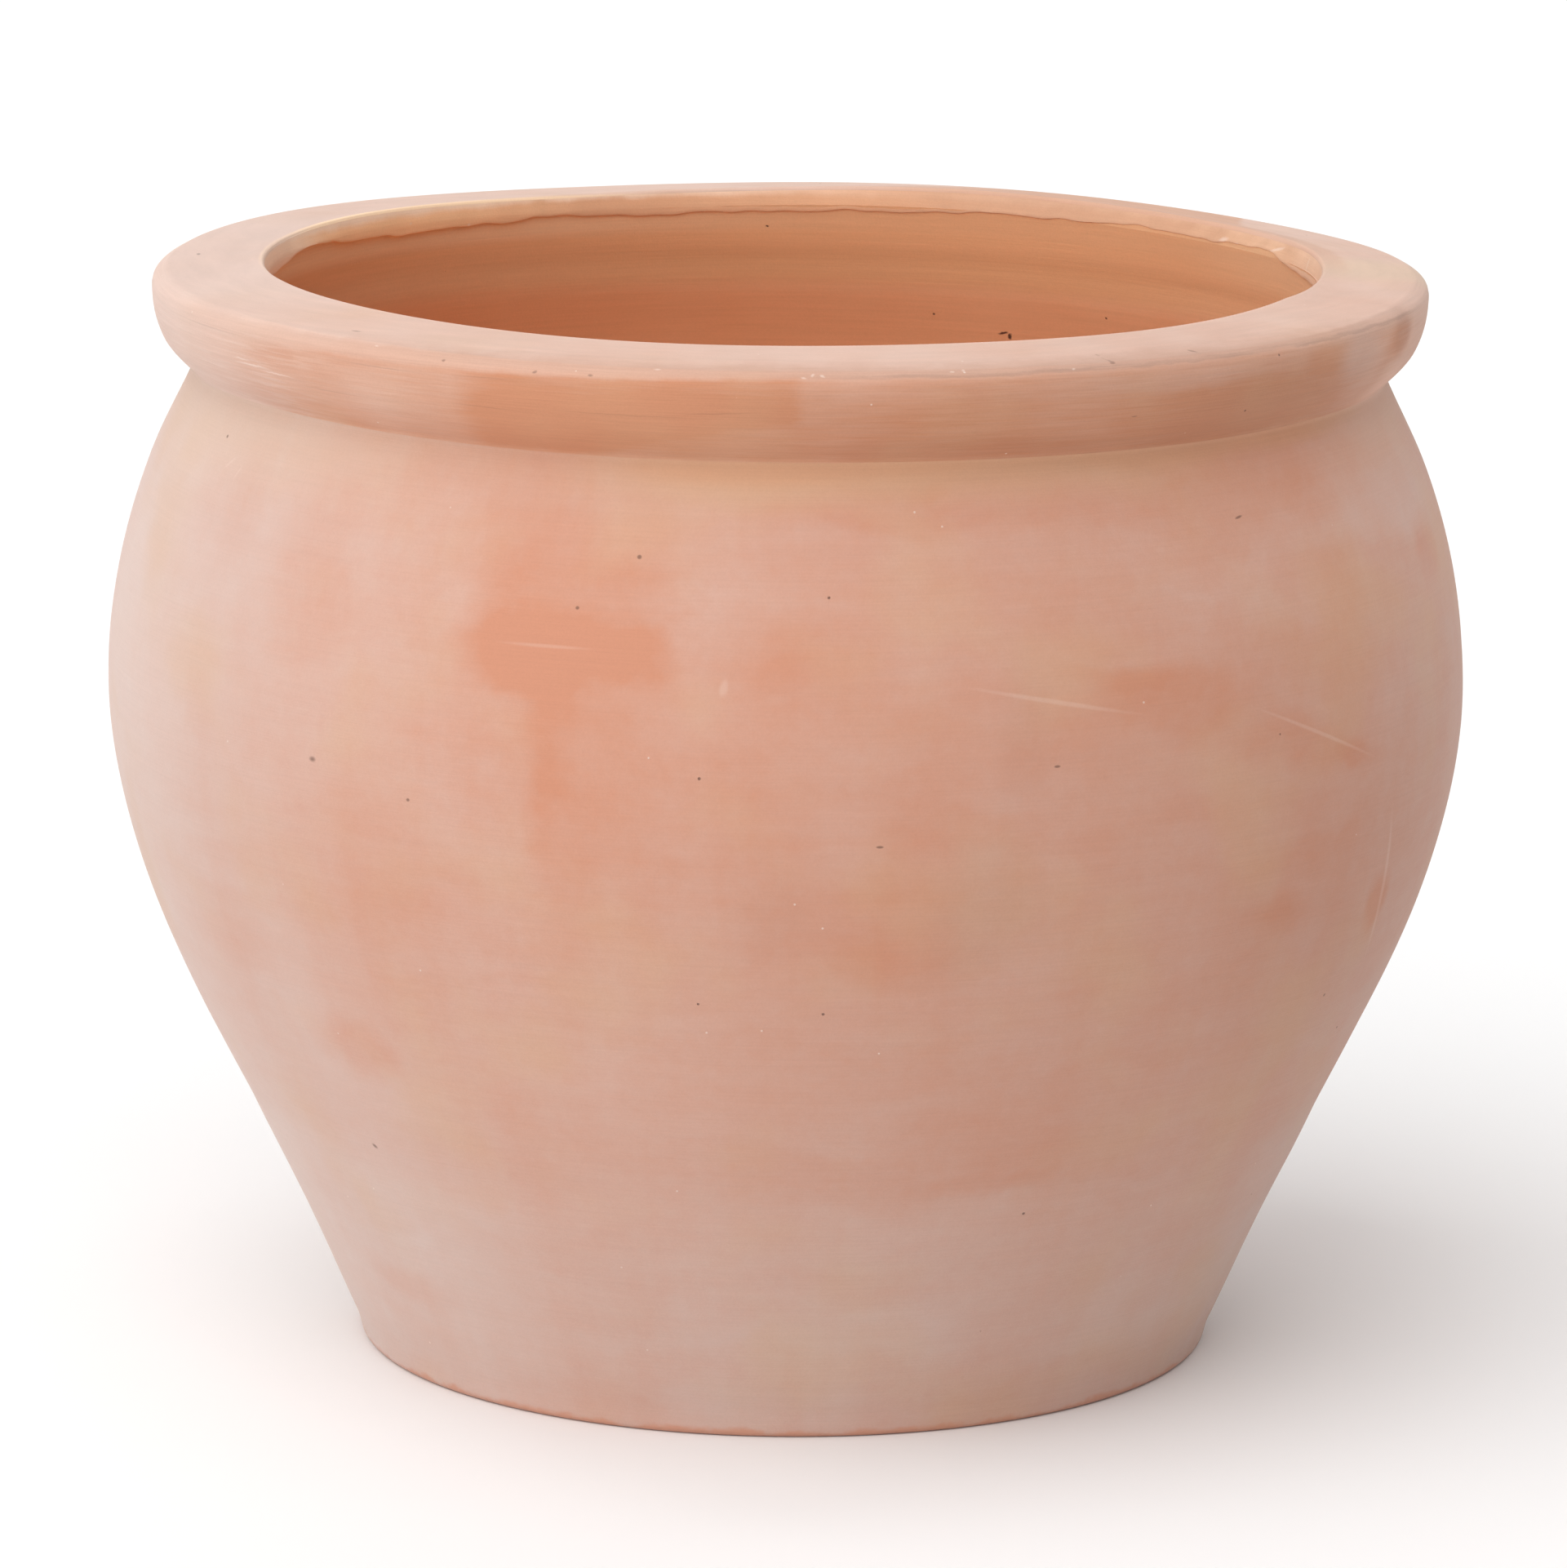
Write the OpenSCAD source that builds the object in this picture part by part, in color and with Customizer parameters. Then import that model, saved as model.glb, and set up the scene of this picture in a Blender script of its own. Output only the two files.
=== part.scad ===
// Round-bellied terracotta planter with a thick, undercut, rolled rim.
//
// The pot is raised in four clay sections that are luted together before firing:
// a floor slab with a drain hole, a conical lower wall, a bellied upper wall and a
// heavy rim that laps over the lip of the wall. Each section is a ring turned about
// the Z axis. The origin is the centre of the foot, on the ground, and +Z is up.

/* [Overall] */
// Height of the pot, from the ground to the top of the rim
pot_height = 361.5; // [335:0.5:400]
// Outer radius of the belly at its widest
belly_r = 225; // [214:0.5:250]
// Height at which the belly is widest
belly_z = 223.5; // [190:0.5:260]

/* [Foot and floor] */
// Outer radius of the lower wall, carried down to the ground
foot_r = 140.5; // [125:0.5:160]
// Radius that rounds the outer edge of the foot
foot_edge = 3.5; // [1:0.5:8]
// Thickness of the floor slab
floor_t = 18; // [12:0.5:30]
// Radius of the drain hole in the middle of the floor
drain_r = 15; // [8:0.5:25]
// Radius of the clay fillet inside, between the floor and the wall
inner_fillet = 14; // [4:0.5:25]

/* [Wall] */
// Thickness of the wall, measured level
wall_t = 16; // [11:0.5:19]
// Outer radius where the lower wall meets the upper wall
joint_r = 179.5; // [168:0.5:190]
// Height of the joint between the lower wall and the upper wall
joint_z = 86; // [65:0.5:110]
// Lean of the upper wall from upright, just above that joint, in degrees
joint_lean = 26.5; // [20:0.5:34]
// Outer radius of the neck, where the lower edge of the rim meets the wall
neck_r = 198; // [193:0.5:203]
// Inward lean of the wall from upright, just below the neck, in degrees
neck_lean = 23.5; // [15:0.5:35]

/* [Rim] */
// Radius of the mouth
mouth_r = 172; // [164:0.5:176]
// Outer radius of the rim at its widest
rim_r = 210; // [206:0.5:222]
// Height of the rim, from its lower edge at the neck to its top
rim_h = 35; // [28:0.5:45]
// How far the top of the rim falls from its inner to its outer edge
rim_fall = 3; // [1:0.5:6]
// Radius that rounds the outer top edge of the rim
rim_outer_edge = 5; // [3:0.5:8]
// Radius that rounds the inner top edge of the rim
rim_inner_edge = 3; // [1:0.5:5]
// Height of the collar that the rim forms inside the mouth
collar_h = 6.5; // [5.5:0.5:10]
// How far the wall stands back behind the collar
collar_step = 1.5; // [0.5:0.5:4]

/* [Hidden] */

// Segments in a full turn, in a long curve and in a rounded edge
turn_fn = 180;
curve_steps = 20;
edge_steps = 8;

// Shares of a curve's height over which it keeps the direction it starts and ends with
belly_pull = [0.26, 0.38];
shoulder_pull = [0.45, 0.25];

// Lean of the lower wall from upright, in degrees
foot_lean = atan2(joint_r - foot_r, joint_z);

// Height of the neck, and the lip of the wall that the rim laps over
neck_z = pot_height - rim_h;
lip_z = pot_height - collar_h;
lip_inner_r = mouth_r + collar_step;
lip_outer_r = lip_inner_r + wall_t;

joint = [joint_r, joint_z];
belly = [belly_r, belly_z];
neck = [neck_r, neck_z];

// Centres of the two rounded edges along the top of the rim
rim_inner_centre = [mouth_r + rim_inner_edge, pot_height - rim_inner_edge];
rim_outer_centre = [rim_r - rim_outer_edge, pot_height - rim_fall - rim_outer_edge];

// A cubic curve from a to d, drawn by the handles b and c
function curve(a, b, c, d) = [
    for (i = [0:curve_steps])
        let (t = i / curve_steps, u = 1 - t)
            u * u * u * a + 3 * u * u * t * b + 3 * u * t * t * c + t * t * t * d
];

// An arc about a centre, between two angles in degrees
function arc(centre, radius, from, to, steps = edge_steps) = [
    for (i = [0:steps])
        let (angle = from + (to - from) * i / steps)
            centre + radius * [cos(angle), sin(angle)]
];

function reversed(points) = [for (i = [len(points) - 1:-1:0]) points[i]];

// Two stretches of outline, where the second starts at the first one's last point
function joined(first, second) = concat(first, [for (i = [1:len(second) - 1]) second[i]]);

// The same outline, one wall thickness further in
function inside(points) = [for (p = points) p - [wall_t, 0]];

// Outer radius of the lower wall at height z
function lower_r(z) = foot_r + z * tan(foot_lean);

// The arc that rounds the corner between a level face at height z and a face that
// leans out with the lower wall, where corner_r is the radius of the sharp corner
function foot_arc(corner_r, z, radius) =
    arc([corner_r - radius * tan((90 - foot_lean) / 2), z + radius], radius, -90, -foot_lean);

// Outside of the upper wall: out from the joint to the belly, then in to the neck
function belly_curve() =
    let (rise = belly_z - joint_z)
        curve(
            joint,
            joint + belly_pull[0] * rise * [tan(joint_lean), 1],
            belly - [0, belly_pull[1] * rise],
            belly
        );

function shoulder_curve() =
    let (rise = neck_z - belly_z)
        curve(
            belly,
            belly + [0, shoulder_pull[0] * rise],
            neck + shoulder_pull[1] * rise * [tan(neck_lean), -1],
            neck
        );

// Top of the rim: the inner edge, the gently falling top and the outer edge
function rim_top() =
    let (
        span = rim_outer_centre - rim_inner_centre,
        tangent = atan2(span[1], span[0]) + acos((rim_inner_edge - rim_outer_edge) / norm(span))
    )
        concat(
            arc(rim_inner_centre, rim_inner_edge, 180, tangent),
            arc(rim_outer_centre, rim_outer_edge, tangent, 0)
        );

// Side of the rim: upright at its widest, curling under to the neck
function rim_side() =
    let (
        width = rim_r - neck_r,
        drop = rim_outer_centre[1] - neck_z,
        radius = (width * width + drop * drop) / (2 * width)
    )
        arc(
            [rim_r - radius, rim_outer_centre[1]],
            radius,
            0,
            -atan2(drop, radius - width),
            curve_steps
        );

// Turns a half section about the Z axis
module ring(points) {
    rotate_extrude($fn = turn_fn)
        polygon(points);
}

module floor_slab() {
    color("#d9a183")
        ring(concat(
            [[drain_r, 0]],
            foot_arc(foot_r, 0, foot_edge),
            [[lower_r(floor_t), floor_t], [drain_r, floor_t]]
        ));
}

module lower_wall() {
    color("#dcaa90")
        ring(concat(
            [joint, joint - [wall_t, 0]],
            reversed(foot_arc(lower_r(floor_t) - wall_t, floor_t, inner_fillet)),
            [[lower_r(floor_t), floor_t]]
        ));
}

module upper_wall() {
    outside = joined(belly_curve(), shoulder_curve());
    color("#e0b094")
        ring(concat(
            outside,
            [[lip_outer_r, lip_z], [lip_inner_r, lip_z]],
            reversed(inside(outside))
        ));
}

module rim() {
    color("#e6bda6")
        ring(concat(
            joined(rim_top(), rim_side()),
            [[lip_outer_r, lip_z], [mouth_r, lip_z]]
        ));
}

floor_slab();
lower_wall();
upper_wall();
rim();
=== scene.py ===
import math

import bpy
import numpy as np
from mathutils import Matrix, Vector


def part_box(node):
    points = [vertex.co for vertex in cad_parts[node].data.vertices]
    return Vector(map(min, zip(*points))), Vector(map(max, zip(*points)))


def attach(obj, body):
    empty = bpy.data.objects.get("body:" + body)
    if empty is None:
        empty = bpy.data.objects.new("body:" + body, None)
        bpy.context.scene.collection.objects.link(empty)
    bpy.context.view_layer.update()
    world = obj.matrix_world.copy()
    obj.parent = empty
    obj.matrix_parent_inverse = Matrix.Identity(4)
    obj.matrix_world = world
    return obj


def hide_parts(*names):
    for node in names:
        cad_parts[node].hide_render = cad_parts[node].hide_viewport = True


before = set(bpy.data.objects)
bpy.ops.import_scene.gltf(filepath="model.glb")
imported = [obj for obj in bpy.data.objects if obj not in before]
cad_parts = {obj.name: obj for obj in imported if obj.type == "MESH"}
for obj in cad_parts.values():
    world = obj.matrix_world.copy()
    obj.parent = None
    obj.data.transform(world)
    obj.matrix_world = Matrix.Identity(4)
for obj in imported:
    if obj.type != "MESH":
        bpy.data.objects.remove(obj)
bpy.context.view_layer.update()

# ---- Sizes, in metres: the frame gives the ones that it can ----
MM = 0.001

RIM_LOW, RIM_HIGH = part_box("rim")
WALL_LOW, WALL_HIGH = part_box("upper_wall")
POT_TOP = RIM_HIGH.z
NECK_Z = RIM_LOW.z
RIM_R = RIM_HIGH.x
LIP_Z = WALL_HIGH.z
BELLY_R = WALL_HIGH.x
JOINT_Z = WALL_LOW.z
JOINT_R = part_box("lower_wall")[1].x
FLOOR_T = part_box("floor_slab")[1].z

FOOT_R = 140.5 * MM
FOOT_EDGE = 3.5 * MM
DRAIN_R = 15 * MM
DRAIN_EDGE = 2 * MM
INNER_FILLET = 14 * MM
WALL_T = 16 * MM
BELLY_Z = 223.5 * MM
NECK_R = 198 * MM
MOUTH_R = 172 * MM
RIM_FALL = 3 * MM
RIM_OUTER_EDGE = 5 * MM
MOUTH_EDGE = 1.2 * MM
MOUTH_SET = 1.4 * MM
ARRIS_DROP = 5.2 * MM
ARRIS_SET = 0.6 * MM
COLLAR_STEP = 1.5 * MM
COLLAR_LEDGE = 0.5 * MM
COLLAR_EDGE = 0.4 * MM
CREASE_REACH = 3.2 * MM
JOINT_LEAN = math.radians(26.5)
NECK_LEAN = math.radians(23.5)
FOOT_LEAN = math.atan2(JOINT_R - FOOT_R, JOINT_Z)
LIP_INNER_R = MOUTH_R + COLLAR_STEP
LIP_OUTER_R = LIP_INNER_R + WALL_T
MOUTH_EDGE_R = MOUTH_R + MOUTH_SET + MOUTH_EDGE
# How far the handles of the two outline curves reach, as shares of their rise
BELLY_HANDLES = (0.26, 0.38)
SHOULDER_HANDLES = (0.45, 0.25)

# The pot is thrown and luted by hand, so it isn't quite true. The tables say how far off
# it is, in mm and degrees. Its axis drifts sideways on the way up: height, drift.
DRIFTS = [(0, 0.9), (70, 0.9), (115, 0.15), (190, 0), (240, -0.45), (290, 0.1)]
# The rim stands a little high, leans, and waves: how many waves, how high, where one peaks
RIM_LIFT = 1.4 * MM
RIM_LEAN_X = -0.0028
RIM_LEAN_Y = 0.005
LEAN_FROM = 230 * MM
WAVE_FADE = 36 * MM
RIM_WAVES = [(2, 0.6, 82), (4, 0.35, -11), (5, 0.45, 18)]
# The neck stands higher in front: between two heights, and between two cosines of the azimuth
NECK_RISE = 2 * MM
NECK_RISE_FROM = 300 * MM
NECK_RISE_TO = 350 * MM
NECK_RISE_FRONT = (0.1, 0.6)
# Where the pot grows or shrinks on its way up: from height, to height, how much
FOOT_SPREAD = 1.3
GIRTH_STEPS = [
    (0, 9, -1.3),
    (10, 40, -0.4),
    (45, 80, 0.7),
    (296, 326.5, -1.5),
    (326.5, 338, 1.9),
    (342, 352, -0.2),
]
# Waves in the walls: how many round, how many radians up, how high, where one peaks
WALL_WAVES = [(3, 9, 0.12, 40), (5, 21, 0.08, 10), (2, 34, 0.06, 75), (9, 15, 0.05, 25)]

# How far the ragged foot of the collar hangs below the lip, by azimuth from the back
SEAM_DROPS = [
    (-180, 1), (-150, 2), (-110, 0.5), (-82, 4.2), (-74, 1.5), (-67, 1), (-60, 3.1),
    (-48, 3.6), (-35, 3.4), (-31, 1.5), (-10, 2.6), (0, 2.5), (20, 1.1), (36, 0.1),
    (45, -2.4), (50, -1.1), (56, -0.6), (62, -1.7), (68, -1.8), (75, 1.5), (80, 2.5),
    (84, 3.4), (88, 5.8), (96, 6.2), (130, 0.2), (180, 1),
]
# Its teeth: how many round the pot, how long, and where one hangs lowest
SEAM_TEETH = [(11, 0.35, 4), (23, 0.25, 9), (41, 0.2, 2), (67, 0.15, 5), (97, 0.1, 1)]
SEAM_REACH = 4 * MM
# The mouth is worn to a bevel at the back: azimuth from the back, how far the foot of
# the collar stands in, how far the edge above it stands out, and how far the edge dips
BEVELS = [
    (-110, 0, 0, 0),
    (-92, 1.4, -0.3, 0.8),
    (-75, 2, -0.3, 1.3),
    (-56, 1.7, 0, 1.1),
    (-41, 1.4, 0.4, 1.1),
    (-25, 0.6, 1.4, 1),
    (0, 0.2, 3.2, 0.6),
    (20, 0, 3.8, 0),
    (45, 0, 3.8, 0),
    (67, 0, 3.6, 0),
    (80, 0.3, 2.6, 0.3),
    (90, 0.5, 1.8, 1.1),
    (100, 0, 0.6, 1.4),
    (107, 0, 0.2, 0.9),
    (114, 0, 0, 0),
]
BEVEL_REACH = 15 * MM
DIP_REACH = 32 * MM
# Two radii this close count as the same
CLOSE = 0.05 * MM

# Mesh spacing along a section, and columns round the pot
WALL_STEP = 3 * MM
INSIDE_STEP = 4.5 * MM
RIM_STEP = 1.2 * MM
EDGE_STEP = 0.6 * MM
HIDDEN_STEP = 6 * MM
ARC_POINTS = 25
CURVE_POINTS = 81
WALL_COLUMNS = 480
RIM_COLUMNS = 720
SHARP_ANGLE = math.radians(40)


# ---- Sections: outlines are arrays of (radius, height) ----
def line(*points):
    """A straight or broken line through the points."""
    return np.array(points, float)


def arc(centre, radius, start, end):
    """Points on a circle about centre, between two angles in radians."""
    angle = np.linspace(start, end, ARC_POINTS)[:, None]
    return np.array(centre) + radius * np.hstack([np.cos(angle), np.sin(angle)])


def curve(a, b, c, d):
    """A cubic curve from a to d, drawn by the handles b and c."""
    a, b, c, d = (np.array(p, float) for p in (a, b, c, d))
    t = np.linspace(0, 1, CURVE_POINTS)[:, None]
    u = 1 - t
    return u**3 * a + 3 * u * u * t * b + 3 * u * t * t * c + t**3 * d


def spaced(points, spacing):
    """The same stretch of outline with its points evenly spaced."""
    length = np.concatenate([[0], np.cumsum(np.hypot(*np.diff(points, axis=0).T))])
    count = max(2, round(length[-1] / spacing) + 1)
    at = np.linspace(0, length[-1], count)
    return np.stack([np.interp(at, length, points[:, k]) for k in (0, 1)], axis=1)


def softened(points, rounds):
    """The outline with its corners cut off, a little more in each round."""
    for _ in range(rounds):
        near = 0.75 * points[:-1] + 0.25 * points[1:]
        far = 0.25 * points[:-1] + 0.75 * points[1:]
        cuts = np.stack([near, far], axis=1).reshape(-1, 2)
        points = np.vstack([points[:1], cuts, points[-1:]])
    return points


def inside(points):
    """The outline one wall thickness further in."""
    return points - [WALL_T, 0]


def foot_arc(corner_r, z, radius):
    """Rounds the corner between a level face at z and the leaning lower wall."""
    centre = (corner_r - radius * math.tan((math.pi / 2 - FOOT_LEAN) / 2), z + radius)
    return arc(centre, radius, -math.pi / 2, -FOOT_LEAN)


def lower_r(z):
    """Outer radius of the lower wall at height z."""
    return FOOT_R + z * math.tan(FOOT_LEAN)


def belly_curve():
    """The outline from the joint up to the widest place."""
    low, high = (share * (BELLY_Z - JOINT_Z) for share in BELLY_HANDLES)
    return curve(
        (JOINT_R, JOINT_Z),
        (JOINT_R + low * math.tan(JOINT_LEAN), JOINT_Z + low),
        (BELLY_R, BELLY_Z - high),
        (BELLY_R, BELLY_Z),
    )


def shoulder_curve():
    """The outline from the widest place up to the neck."""
    low, high = (share * (NECK_Z - BELLY_Z) for share in SHOULDER_HANDLES)
    return curve(
        (BELLY_R, BELLY_Z),
        (BELLY_R, BELLY_Z + low),
        (NECK_R + high * math.tan(NECK_LEAN), NECK_Z - high),
        (NECK_R, NECK_Z),
    )


def crease():
    """The wiped corner under the rim: its wall half and its rim half."""
    wall = (NECK_R + CREASE_REACH * math.sin(NECK_LEAN), NECK_Z - CREASE_REACH * math.cos(NECK_LEAN))
    side = rim_side()
    reach = np.hypot(*(side - side[-1]).T)
    rim = side[np.argmin(abs(reach - CREASE_REACH))]
    corner = curve(wall, (NECK_R, NECK_Z), (NECK_R, NECK_Z), rim)
    middle = len(corner) // 2
    return corner[: middle + 1], corner[middle:]


def rim_side():
    """The round side of the rim, from its widest place down to the neck."""
    width, drop = RIM_R - NECK_R, POT_TOP - RIM_FALL - RIM_OUTER_EDGE - NECK_Z
    radius = (width * width + drop * drop) / (2 * width)
    return arc((RIM_R - radius, NECK_Z + drop), radius, 0, -math.atan2(drop, radius - width))


def floor_runs():
    """The section of the floor slab, from the drain hole out and back."""
    top = (lower_r(FLOOR_T), FLOOR_T)
    seat = foot_arc(lower_r(FLOOR_T) - WALL_T, FLOOR_T, INNER_FILLET)[0]
    foot = foot_arc(FOOT_R, 0, FOOT_EDGE)
    bore = arc((DRAIN_R + DRAIN_EDGE, FLOOR_T - DRAIN_EDGE), DRAIN_EDGE, math.pi / 2, math.pi)
    return [
        ("outside", line((DRAIN_R, 0), foot[0]), WALL_STEP),
        ("outside", foot, EDGE_STEP),
        ("outside", line(foot[-1], top), WALL_STEP),
        ("hidden", line(top, seat), HIDDEN_STEP),
        ("inside", line(seat, bore[0]), WALL_STEP),
        ("inside", bore, EDGE_STEP),
        ("inside", line(bore[-1], (DRAIN_R, 0)), WALL_STEP),
    ]


def lower_wall_runs():
    """The section of the conical lower wall, with the fillet to the floor."""
    fillet = foot_arc(lower_r(FLOOR_T) - WALL_T, FLOOR_T, INNER_FILLET)
    seat = (lower_r(FLOOR_T), FLOOR_T)
    return [
        ("outside", line(seat, (JOINT_R, JOINT_Z)), WALL_STEP),
        ("hidden", line((JOINT_R, JOINT_Z), (JOINT_R - WALL_T, JOINT_Z)), HIDDEN_STEP),
        ("inside", line((JOINT_R - WALL_T, JOINT_Z), fillet[-1]), INSIDE_STEP),
        ("inside", fillet[::-1], WALL_STEP),
        ("hidden", line(fillet[0], seat), HIDDEN_STEP),
    ]


def upper_wall_runs():
    """The section of the belly, shoulder, neck and lip."""
    wall_end, _ = crease()
    outside = np.vstack([belly_curve(), shoulder_curve()[1:]])
    outside = outside[outside[:, 1] < wall_end[0, 1]]
    neck_inside = (NECK_R - WALL_T, NECK_Z)
    lip_inside = (LIP_INNER_R, LIP_Z)
    return [
        ("outside", np.vstack([outside, wall_end[:1]]), WALL_STEP),
        ("outside", wall_end, EDGE_STEP),
        ("hidden", line(wall_end[-1], (LIP_OUTER_R, LIP_Z)), HIDDEN_STEP),
        ("hidden", line((LIP_OUTER_R, LIP_Z), lip_inside), HIDDEN_STEP),
        ("inside", line(lip_inside, neck_inside), WALL_STEP),
        ("inside", np.vstack([[neck_inside], inside(outside)[::-1]]), INSIDE_STEP),
        ("hidden", line((JOINT_R - WALL_T, JOINT_Z), (JOINT_R, JOINT_Z)), HIDDEN_STEP),
    ]


def rim_runs():
    """The section of the rim: top, side, crease, seat on the lip and collar."""
    inner = np.array([MOUTH_EDGE_R, POT_TOP - MOUTH_EDGE])
    outer = np.array([RIM_R - RIM_OUTER_EDGE, POT_TOP - RIM_FALL - RIM_OUTER_EDGE])
    span = outer - inner
    tangent = math.atan2(span[1], span[0])
    tangent += math.acos((MOUTH_EDGE - RIM_OUTER_EDGE) / np.hypot(*span))
    inner_edge = arc(inner, MOUTH_EDGE, math.pi, tangent)
    top_end = outer + RIM_OUTER_EDGE * np.array([math.cos(tangent), math.sin(tangent)])
    _, corner = crease()
    side = rim_side()
    side = np.vstack([side[side[:, 1] > corner[-1, 1]], corner[-1:]])
    arris = (RIM_R - ARRIS_SET, POT_TOP - ARRIS_DROP)
    outer_edge = softened(line(top_end, arris, side[0]), 3)
    foot_centre = (LIP_INNER_R - COLLAR_LEDGE + COLLAR_EDGE, LIP_Z + COLLAR_EDGE)
    collar_foot = arc(foot_centre, COLLAR_EDGE, -math.pi / 2, -math.pi)
    return [
        ("outside", inner_edge, EDGE_STEP / 3),
        ("outside", line(inner_edge[-1], top_end), RIM_STEP),
        ("outside", outer_edge, EDGE_STEP),
        ("outside", side, RIM_STEP),
        ("outside", corner[::-1], EDGE_STEP),
        ("hidden", line(corner[0], (LIP_OUTER_R, LIP_Z)), HIDDEN_STEP),
        ("hidden", line((LIP_OUTER_R, LIP_Z), (LIP_INNER_R, LIP_Z)), HIDDEN_STEP),
        ("inside", line((LIP_INNER_R, LIP_Z), collar_foot[0]), EDGE_STEP),
        ("collar", collar_foot, EDGE_STEP / 2),
        ("collar", line(collar_foot[-1], inner_edge[0]), EDGE_STEP),
    ]


# ---- Hand work: how the true pot is moved ----
def smooth(low, high, value):
    """0 below low, 1 above high, and a soft step between them."""
    t = np.clip((value - low) / (high - low), 0, 1)
    return t * t * (3 - 2 * t)


def wave(count, azimuth, peak):
    """Waves round the pot, with one of them highest at the azimuth peak, in degrees."""
    return np.cos(count * (azimuth - math.radians(peak)))


def girth(azimuth, z):
    """How much further out the wall stands than in a true pot."""
    steps = sum(change * smooth(low * MM, high * MM, z) for low, high, change in GIRTH_STEPS)
    swell = sum(
        height * wave(count, azimuth, peak) * np.sin(up * z / POT_TOP)
        for count, up, height, peak in WALL_WAVES
    )
    return (FOOT_SPREAD + steps + swell) * MM


def lift(x, y, z, azimuth):
    """How much higher a point stands than in a true pot."""
    lean = RIM_LIFT + RIM_LEAN_X * x + RIM_LEAN_Y * y
    waves = sum(height * MM * wave(count, azimuth, peak) for count, height, peak in RIM_WAVES)
    neck = smooth(NECK_RISE_FROM, NECK_Z, z) * (1 - smooth(NECK_Z, NECK_RISE_TO, z))
    return (
        smooth(LEAN_FROM, NECK_Z, z) * lean
        + smooth(NECK_Z - WAVE_FADE, LIP_Z, z) * waves
        + NECK_RISE * neck * smooth(*NECK_RISE_FRONT, np.cos(azimuth))
    )


def settled(points):
    """Points of a true pot, moved to where the hand-built one has them."""
    x, y, z = points[..., 0], points[..., 1], points[..., 2]
    azimuth = np.arctan2(x, -y)
    grow = 1 + girth(azimuth, z) / np.maximum(np.hypot(x, y), FOOT_R)
    heights, drifts = np.array(DRIFTS).T * MM
    drift = np.interp(z, heights, drifts)
    return np.stack([x * grow + drift, y * grow, z + lift(x, y, z, azimuth)], axis=-1)


def from_back(angle):
    """The azimuth in degrees, counted from the back of the pot."""
    return np.degrees(np.arctan2(np.sin(angle), -np.cos(angle)))


def seam_drop(angle):
    """How far the collar's foot hangs below the lip, all round."""
    places, drops = zip(*SEAM_DROPS)
    teeth = sum(length * wave(count, angle, peak) for count, length, peak in SEAM_TEETH)
    return (np.interp(from_back(angle), places, drops) + teeth) * MM


def torn(r, z, angle):
    """The collar's foot, moved down the inside of the wall or up, so that its edge is ragged."""
    drop = seam_drop(angle)
    seated = r > LIP_INNER_R - CLOSE
    fade = 1 - smooth(LIP_Z + COLLAR_EDGE, LIP_Z + SEAM_REACH, z)
    drop = np.where(seated, np.maximum(drop, 0), drop) * fade
    slope = (NECK_R - WALL_T - LIP_INNER_R) / (LIP_Z - NECK_Z)
    return r + slope * np.maximum(LIP_Z - (z - drop), 0), z - drop


def bevelled(r, z, angle):
    """How far points round the mouth move out and down: the collar's foot in, its edge out."""
    places, *rows = np.array(BEVELS).T
    foot_in, edge_out, dip = (np.interp(from_back(angle), places, row) * MM for row in rows)
    foot_z = LIP_Z - seam_drop(angle)
    height = np.clip((z - foot_z) / (POT_TOP - foot_z), 0, 1)
    foot_in = foot_in * (r < LIP_INNER_R - CLOSE)
    near = 1 - smooth(MOUTH_EDGE_R, MOUTH_R + BEVEL_REACH, r)
    dip = dip * (1 - smooth(MOUTH_EDGE_R, MOUTH_R + DIP_REACH, r))
    return near * (edge_out * height - foot_in * (1 - height)), dip * height


# ---- Rings of clay ----
def section(runs):
    """The closed section that the runs make up, and the skin at each of its points."""
    stretches, skins = [], []
    for skin, points, spacing in runs:
        stretch = spaced(points, spacing)[:-1]
        stretches.append(stretch)
        skins += [skin] * len(stretch)
    return np.vstack(stretches), skins


def ring_points(outline, skins, columns):
    """The section turned about Z and worked by hand: rings by columns by 3."""
    angle = np.linspace(0, 2 * math.pi, columns, endpoint=False)
    r = np.repeat(outline[:, :1], columns, axis=1)
    z = np.repeat(outline[:, 1:], columns, axis=1)
    if "collar" in skins:
        collar = np.isin(skins, ["collar", "inside"])
        out, down = bevelled(r, np.where(collar[:, None], torn(r, z, angle)[1], z), angle)
        r[collar], z[collar] = torn(r[collar], z[collar], angle)
        r += out
        z -= down
    return settled(np.stack([r * np.sin(angle), -r * np.cos(angle), z], axis=-1))


def ring_faces(outline, columns):
    """The quads between neighbouring rings, facing out of the clay."""
    at = np.arange(len(outline) * columns).reshape(-1, columns)
    above, beside = np.roll(at, -1, axis=0), np.roll(at, -1, axis=1)
    corner = np.roll(above, -1, axis=1)
    faces = np.stack([at, beside, corner, above], axis=-1).reshape(-1, 4)
    r, z = outline.T
    area = np.sum(r * np.roll(z, -1) - np.roll(r, -1) * z)
    return faces[:, ::-1] if area < 0 else faces


def scene_object(name, data):
    """A new object in the scene."""
    made = bpy.data.objects.new(name, data)
    bpy.context.scene.collection.objects.link(made)
    return made


def mesh_object(name, points, faces):
    """A new mesh object in the scene."""
    mesh = bpy.data.meshes.new(name)
    mesh.from_pydata(points.reshape(-1, 3).tolist(), [], faces)
    return scene_object(name, mesh)


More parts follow.
